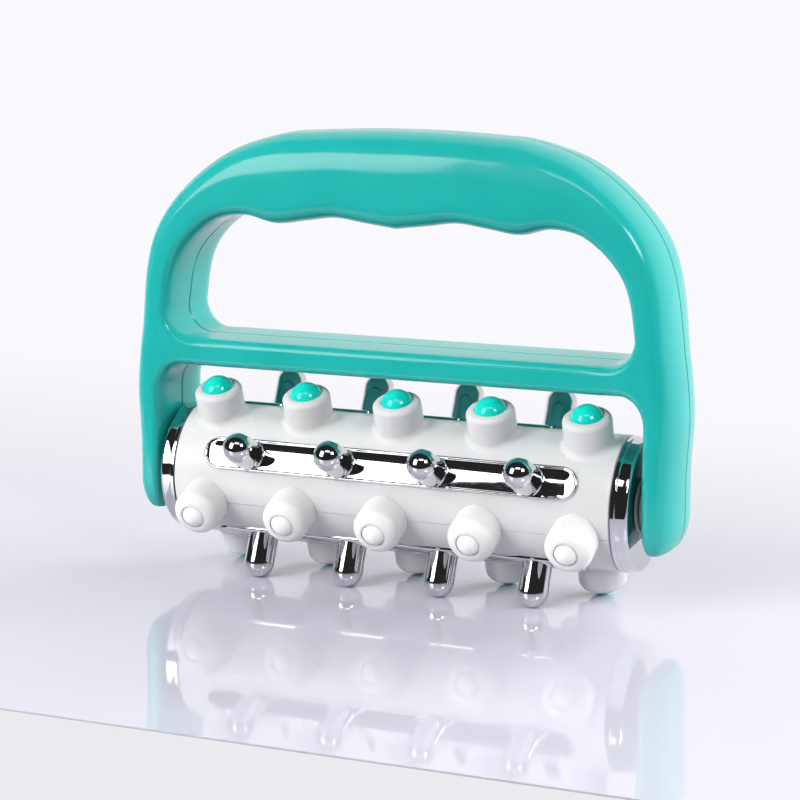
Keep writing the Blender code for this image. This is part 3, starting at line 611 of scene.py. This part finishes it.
def smooth_between(rows, per_span):
    """A Catmull-Rom curve through rows of numbers, with per_span steps from each row to the next."""
    result = []
    for i in range(len(rows) - 1):
        before = rows[max(i - 1, 0)]
        after = rows[min(i + 2, len(rows) - 1)]
        for step in range(per_span):
            t = step / per_span
            result.append([
                0.5 * (2 * b + (c - a) * t + (2 * a - 5 * b + 4 * c - d) * t * t
                       + (3 * b - a - 3 * c + d) * t ** 3)
                for a, b, c, d in zip(before, rows[i], rows[i + 1], after)
            ])
    result.append(list(rows[-1]))
    return result


def bar_stations():
    """From the right arm's end to the middle of the grip: inner x, z, outer x, z and half depth."""
    stations = []
    for angle in (0, 15, 30, 45, 60, 75, 90):
        lost = 1 - math.sin(math.radians(angle))
        z = -ARM_DROP + ARM_END_ROUND * (1 - math.cos(math.radians(angle)))
        stations.append((
            ARM_INNER + ARM_END_LEAN * lost, z, ARM_OUTER - ARM_FOOT_TAPER - ARM_END_TAPER * lost, z,
            HANDLE_DEPTH - ARM_END_THINNING * lost,
        ))
    for z, taper in ((CROSSBAR_LOW / 3, ARM_WAIST_TAPER), (CROSSBAR_LOW * 3 / 4, 0.0)):
        stations.append((ARM_INNER, z, ARM_OUTER - taper, z, HANDLE_DEPTH))
    lean = (ARM_INNER - OPENING_FOOT) / 3
    height = CROSSBAR_TOP - CROSSBAR_LOW
    stations.append((
        ARM_INNER - lean, CROSSBAR_LOW + height / 4, ARM_OUTER - ARM_WAIST_TAPER,
        CROSSBAR_LOW + height / 3, HANDLE_DEPTH,
    ))
    for inner_x, inner_rise, outer_x, outer_rise in SHOULDER_SHAPE:
        stations.append((
            inner_x * OPENING_FOOT, CROSSBAR_TOP + inner_rise * OPENING_HEIGHT,
            outer_x * ARM_OUTER, CROSSBAR_TOP + outer_rise * GRIP_RISE, HANDLE_DEPTH,
        ))
    for quarter in (4, 3, 2, 1, 0):
        x = quarter * FINGER_PITCH / 4
        wave = FINGER_DEPTH * math.cos(math.tau * x / FINGER_PITCH)
        share = GRIP_SHARE * quarter / 4
        stations.append((
            x, CROSSBAR_TOP + OPENING_HEIGHT - wave, share * ARM_OUTER,
            CROSSBAR_TOP + GRIP_RISE * (1 - GRIP_CROWN * share ** 2), HANDLE_DEPTH,
        ))
    return smooth_between(stations, PATH_STEPS)


def ease(share):
    share = min(max(share, 0.0), 1.0)
    return share * share * (3 - 2 * share)


def quarter_rows(squareness):
    """Reach and lift, as shares, round a quarter of a squared ellipse."""
    rows = []
    for i in range(SECTION_STEPS + 1):
        angle = math.pi / 2 * i / SECTION_STEPS
        size = (math.cos(angle) ** squareness + math.sin(angle) ** squareness) ** (-1 / squareness)
        rows.append((size * math.cos(angle), size * math.sin(angle)))
    return rows


def bar_section(station):
    """Points of the front half of the bar's section, from the parting line inside to that outside."""
    inner = Vector((station[0], 0, station[1]))
    outer = Vector((station[2], 0, station[3]))
    across = (outer - inner).normalized()
    width = (outer - inner).length
    depth = station[4]
    crown = CROWN_PLACE * width
    rows = [(crown * (1 - reach), depth * lift) for reach, lift in quarter_rows(INNER_SQUARENESS)]
    up = ease((station[1] - CROSSBAR_TOP) / (GRIP_RISE / 2))
    outside = quarter_rows(ARM_SQUARENESS + (GRIP_SQUARENESS - ARM_SQUARENESS) * up)[:-1]
    rows += [(crown + (width - crown) * reach, depth * lift) for reach, lift in reversed(outside)]
    rows[0] = (rows[0][0], HANDLE_PARTING + GROOVE_EDGE)
    rows[-1] = (rows[-1][0], HANDLE_PARTING + GROOVE_EDGE)
    rows = [(GROOVE_EDGE, HANDLE_PARTING)] + rows + [(width - GROOVE_EDGE, HANDLE_PARTING)]
    return [inner + across * place + Vector((0, -lift, 0)) for place, lift in rows]


def crossbar_rows():
    """Place from the crossbar's edge and lift, from the parting line to its front face."""
    count = FRONT_ROW + 1
    wall = count - 6
    rows = [(GROOVE_EDGE, HANDLE_PARTING), (0.0, HANDLE_PARTING + GROOVE_EDGE)]
    flat_end = CROSSBAR_DEPTH - CROSSBAR_EDGE
    for i in range(1, wall):
        lift = flat_end * i / (wall - 1)
        rows.append((CROSSBAR_CROWN * (lift / flat_end) ** 2, lift))
    for i in range(1, 7):
        angle = math.pi / 2 * i / 6
        rows.append((
            CROSSBAR_CROWN + CROSSBAR_EDGE * (1 - math.cos(angle)),
            flat_end + CROSSBAR_EDGE * math.sin(angle),
        ))
    return rows


def edge_path(start, corner, end_z, sign):
    """Points and inward normals of the crossbar's edge, from the arm round its corner to the middle."""
    rise = abs(end_z - start.z)
    path = []
    for i in range(1, 11):
        angle = math.pi / 2 * i / 10
        point = Vector((
            start.x - corner * (1 - math.cos(angle)), 0, start.z + sign * rise * math.sin(angle)
        ))
        normal = Vector((math.cos(angle) / corner, 0, sign * math.sin(angle) / rise)).normalized()
        path.append((point, normal))
    straight = start.x - corner
    for i in range(1, 13):
        path.append((Vector((straight * (1 - i / 12), 0, end_z)), Vector((0, 0, sign))))
    return path


def crossbar_columns(section, start, corner, end_z, sign):
    """Rows of the crossbar's skin beside each point of its edge, turning from the arm's section."""
    rows = crossbar_rows()
    first = section[:FRONT_ROW + 2]
    across = (section[-1] - section[0]).normalized()
    arm_rows = [((point - start).dot(across), -point.y) for point in first]
    columns = []
    for point, normal in edge_path(start, corner, end_z, sign):
        share = ease((start.x + 0.001 - point.x) / (corner + 0.006))
        columns.append([
            point + normal * (a[0] + (b[0] - a[0]) * share) - Vector((0, a[1] + (b[1] - a[1]) * share, 0))
            for a, b in zip(arm_rows, rows)
        ])
    return columns


def add_rows(bm, here, there):
    for a, b, c, d in zip(here, here[1:], there[1:], there):
        bm.faces.new((a, b, c, d))


def half_skin(bm):
    """The right half of the front shell's skin."""
    stations = bar_stations()
    front = FRONT_ROW + 1
    high = min(i for i, s in enumerate(stations) if s[1] >= CROSSBAR_TOP + CORNER_ABOVE)
    low = max(i for i, s in enumerate(stations[:high]) if s[1] <= CROSSBAR_LOW - CORNER_BELOW)
    sections = [bar_section(s) for s in stations]
    rings = []
    for i, section in enumerate(sections):
        first = front if low < i < high else 0
        rings.append([None] * first + [bm.verts.new(p) for p in section[first:]])
    for i, (here, there) in enumerate(zip(rings, rings[1:])):
        first = front if low <= i < high else 0
        add_rows(bm, here[first:], there[first:])
    bm.faces.new(rings[0])
    top = Vector((stations[high][0], 0, stations[high][1]))
    bottom = Vector((stations[low][0], 0, stations[low][1]))
    upper = crossbar_columns(sections[high], top, CORNER_ABOVE, CROSSBAR_TOP, -1)
    lower = crossbar_columns(sections[low], bottom, CORNER_BELOW, CROSSBAR_LOW, 1)
    between = high - low
    last_up, last_down = rings[high][:front + 1], rings[low][:front + 1]
    last_face = [rings[i][front] for i in range(low, high + 1)]
    for up, down in zip(upper, lower):
        new_up = [bm.verts.new(p) for p in up]
        new_down = [bm.verts.new(p) for p in down]
        face = [new_down[-1]]
        for i in range(1, between):
            face.append(bm.verts.new(down[-1].lerp(up[-1], i / between)))
        face.append(new_up[-1])
        add_rows(bm, last_up, new_up)
        add_rows(bm, last_down, new_down)
        add_rows(bm, last_face, face)
        last_up, last_down, last_face = new_up, new_down, face


def shell_mesh(side):
    bm = bmesh.new()
    half_skin(bm)
    twin = bmesh.ops.duplicate(bm, geom=bm.verts[:] + bm.edges[:] + bm.faces[:])["geom"]
    bmesh.ops.scale(bm, vec=(-1, 1, 1), verts=[v for v in twin if isinstance(v, bmesh.types.BMVert)])
    bmesh.ops.remove_doubles(bm, verts=bm.verts, dist=0.00001)
    rim = [edge for edge in bm.edges if edge.is_boundary]
    bmesh.ops.triangle_fill(bm, edges=rim, use_beauty=True)
    bmesh.ops.scale(bm, vec=(1, -side, 1), verts=bm.verts)
    bmesh.ops.translate(bm, vec=(0, 0, AXLE.z), verts=bm.verts)
    bmesh.ops.recalc_face_normals(bm, faces=bm.faces)
    mesh = bpy.data.meshes.new("shell")
    bm.to_mesh(mesh)
    bm.free()
    return mesh


def screw_places():
    places = {}
    for name in ("left_arm", "right_arm", "left_shoulder", "right_shoulder", "grip"):
        spot = middle("handle_screw_" + name)
        places[name] = Matrix.Translation((spot.x, 0, spot.z)) @ Matrix.Rotation(-math.pi / 2, 4, "X")
    return places


def make_handle_shells(material):
    for name, side in (("front", -1), ("rear", 1)):
        shell = bpy.data.objects.new(f"handle_{name}_half", shell_mesh(side))
        bpy.context.scene.collection.objects.link(shell)
        if side > 0:
            mouth = 2 * HANDLE_DEPTH
            outline = [(0, mouth), (SCREW_WELL, mouth), (SCREW_WELL, SCREW_SEAT), (0, SCREW_SEAT)]
            well = turned("well", outline)
            for place in screw_places().values():
                cut(shell, placed_copy(well, "well_copy", place))
            remove_pattern(well)
        edit_all(shell)
        leave_edit(shell, 35)
        finish_piece(shell, "handle", f"handle_{name}_shell", material)


def make_screws(material):
    top = SCREW_SEAT + SCREW_HEAD_HEIGHT
    tip = SCREW_SEAT - SCREW_LENGTH
    head = arc((0, top - 0.0042), 0.0042, 90, 60, 5) + [(SCREW_HEAD, SCREW_SEAT + 0.0008)]
    shank = [
        (SCREW_HEAD, SCREW_SEAT + 0.00002), (SCREW_RADIUS, SCREW_SEAT),
        (SCREW_RADIUS, tip + 2 * SCREW_RADIUS), (0, tip),
    ]
    screw = turned("screw", head + shank, 48)
    for size in ((RECESS_LENGTH, RECESS_WIDTH), (RECESS_WIDTH, RECESS_LENGTH)):
        start_fresh()
        bpy.ops.mesh.primitive_cube_add(size=1, location=(0, 0, top), scale=(*size, 2 * RECESS_DEPTH))
        cut(screw, bpy.context.object, solver="EXACT")
    edit_all(screw)
    leave_edit(screw, 30)
    for name, place in screw_places().items():
        piece = placed_copy(screw, "screw_" + name, place)
        finish_piece(piece, "handle", "handle_screw_" + name, material)
    remove_pattern(screw)


# Stage

BACK_GLOW = 1.1
FRONT_GLOW = 0.03
PALE = (0.955, 0.95, 0.985)


def make_floor():
    material, shader = new_material("pale_gloss_table", (0.56, 0.545, 0.62), 0.05)
    nodes, links = material.node_tree.nodes, material.node_tree.links
    shader.inputs["IOR"].default_value = 1.8
    vary_roughness(material, shader, add_noise(material, 0.05), 0.03, 0.07)
    place = nodes.new("ShaderNodeTexCoord")
    split = nodes.new("ShaderNodeSeparateXYZ")
    links.new(place.outputs["Object"], split.inputs["Vector"])
    fade = nodes.new("ShaderNodeMapRange")
    fade.interpolation_type = "SMOOTHSTEP"
    fade.inputs["From Min"].default_value = 0.0
    fade.inputs["From Max"].default_value = 0.28
    links.new(split.outputs["Y"], fade.inputs["Value"])
    glow = nodes.new("ShaderNodeEmission")
    glow.inputs["Color"].default_value = (*PALE, 1)
    under = nodes.new("ShaderNodeMath")
    under.operation = "LESS_THAN"
    under.inputs[1].default_value = -0.0004
    links.new(split.outputs["Z"], under.inputs[0])
    side = nodes.new("ShaderNodeEmission")
    side.inputs["Color"].default_value = (0.83, 0.835, 0.865, 1)
    mix = nodes.new("ShaderNodeMixShader")
    links.new(fade.outputs["Result"], mix.inputs["Fac"])
    links.new(shader.outputs["BSDF"], mix.inputs[1])
    links.new(glow.outputs["Emission"], mix.inputs[2])
    whole = nodes.new("ShaderNodeMixShader")
    links.new(under.outputs["Value"], whole.inputs["Fac"])
    links.new(mix.outputs["Shader"], whole.inputs[1])
    links.new(side.outputs["Emission"], whole.inputs[2])
    links.new(whole.outputs["Shader"], nodes["Material Output"].inputs["Surface"])
    start_fresh()
    bpy.ops.mesh.primitive_cube_add(size=1, location=(0, 2.883, -0.03), scale=(8, 6.0, 0.06))
    floor = bpy.context.object
    floor.name = "table"
    settle(floor)
    floor.data.materials.append(material)


def make_world():
    """A plain pale wall to the camera. The rest sees it white behind the object and dark in front."""
    world = bpy.data.worlds.new("studio")
    bpy.context.scene.world = world
    world.use_nodes = True
    nodes, links = world.node_tree.nodes, world.node_tree.links
    plain = nodes["Background"]
    plain.inputs["Color"].default_value = (*PALE, 1)
    tent = nodes.new("ShaderNodeBackground")
    place = nodes.new("ShaderNodeTexCoord")
    split = nodes.new("ShaderNodeSeparateXYZ")
    links.new(place.outputs["Generated"], split.inputs["Vector"])
    spread = nodes.new("ShaderNodeMapRange")
    spread.interpolation_type = "SMOOTHSTEP"
    spread.inputs["From Min"].default_value = 0.12
    spread.inputs["From Max"].default_value = 0.42
    spread.inputs["To Min"].default_value = FRONT_GLOW
    spread.inputs["To Max"].default_value = BACK_GLOW
    links.new(split.outputs["Y"], spread.inputs["Value"])
    links.new(spread.outputs["Result"], tent.inputs["Strength"])
    path = nodes.new("ShaderNodeLightPath")
    mix = nodes.new("ShaderNodeMixShader")
    links.new(path.outputs["Is Camera Ray"], mix.inputs["Fac"])
    links.new(tent.outputs["Background"], mix.inputs[1])
    links.new(plain.outputs["Background"], mix.inputs[2])
    links.new(mix.outputs["Shader"], nodes["World Output"].inputs["Surface"])


def add_light(name, place, target, size, power, mirrored=True):
    light = bpy.data.lights.new(name, "AREA")
    light.shape = "RECTANGLE"
    light.size, light.size_y = size
    light.energy = power
    lamp = bpy.data.objects.new(name, light)
    bpy.context.scene.collection.objects.link(lamp)
    lamp.location = place
    lamp.visible_glossy = mirrored
    lamp.rotation_euler = (Vector(target) - Vector(place)).to_track_quat("-Z", "Y").to_euler()


def make_camera():
    camera = bpy.data.cameras.new("camera")
    camera.lens = 103.44
    camera.sensor_width = 36
    lookout = bpy.data.objects.new("camera", camera)
    bpy.context.scene.collection.objects.link(lookout)
    place, target = Vector((0.19853, -0.48859, 0.14722)), Vector((-0.00328, 0.00273, 0.04301))
    lookout.location = place
    lookout.rotation_euler = (target - place).to_track_quat("-Z", "Y").to_euler()
    bpy.context.scene.camera = lookout


make_camera()
make_floor()
make_world()
add_light("key_softbox", (-0.49, -0.73, 0.42), (0, 0, 0.03), (0.42, 0.58), 3.5)
add_light("key_spill", (-0.40, -0.80, 0.50), (0, 0, 0.04), (0.6, 0.6), 7, mirrored=False)
add_light("fill_softbox", (0.75, -0.55, 0.62), (0, 0, 0.05), (0.30, 0.30), 3)
add_light("right_softbox", (0.95, 0.15, 0.35), (0.06, 0, 0.05), (0.5, 0.5), 9, mirrored=False)
add_light("back_softbox", (0.55, 0.85, 0.45), (0, 0, 0.06), (0.6, 0.6), 9, mirrored=False)
add_light("left_softbox", (-0.95, -0.35, 0.25), (-0.06, 0, 0.05), (0.5, 0.5), 5, mirrored=False)
add_light("front_softbox", (0.25, -1.1, 1.3), (0, 0, 0.05), (0.9, 0.3), 3)

CHROME = make_chrome()
NYLON = make_nylon()
STEEL = make_steel()
make_handle_shells(make_teal_plastic())
make_screws(STEEL)
make_drum_shells(make_white_plastic())
make_beads(make_teal_bead())
make_nubs(make_white_rubber(), make_white_tip())
make_strips(CHROME)
make_caps(CHROME, NYLON)
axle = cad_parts["axle"]
for slot in axle.material_slots:
    slot.material = STEEL
bpy.context.scene.view_settings.view_transform = "Standard"
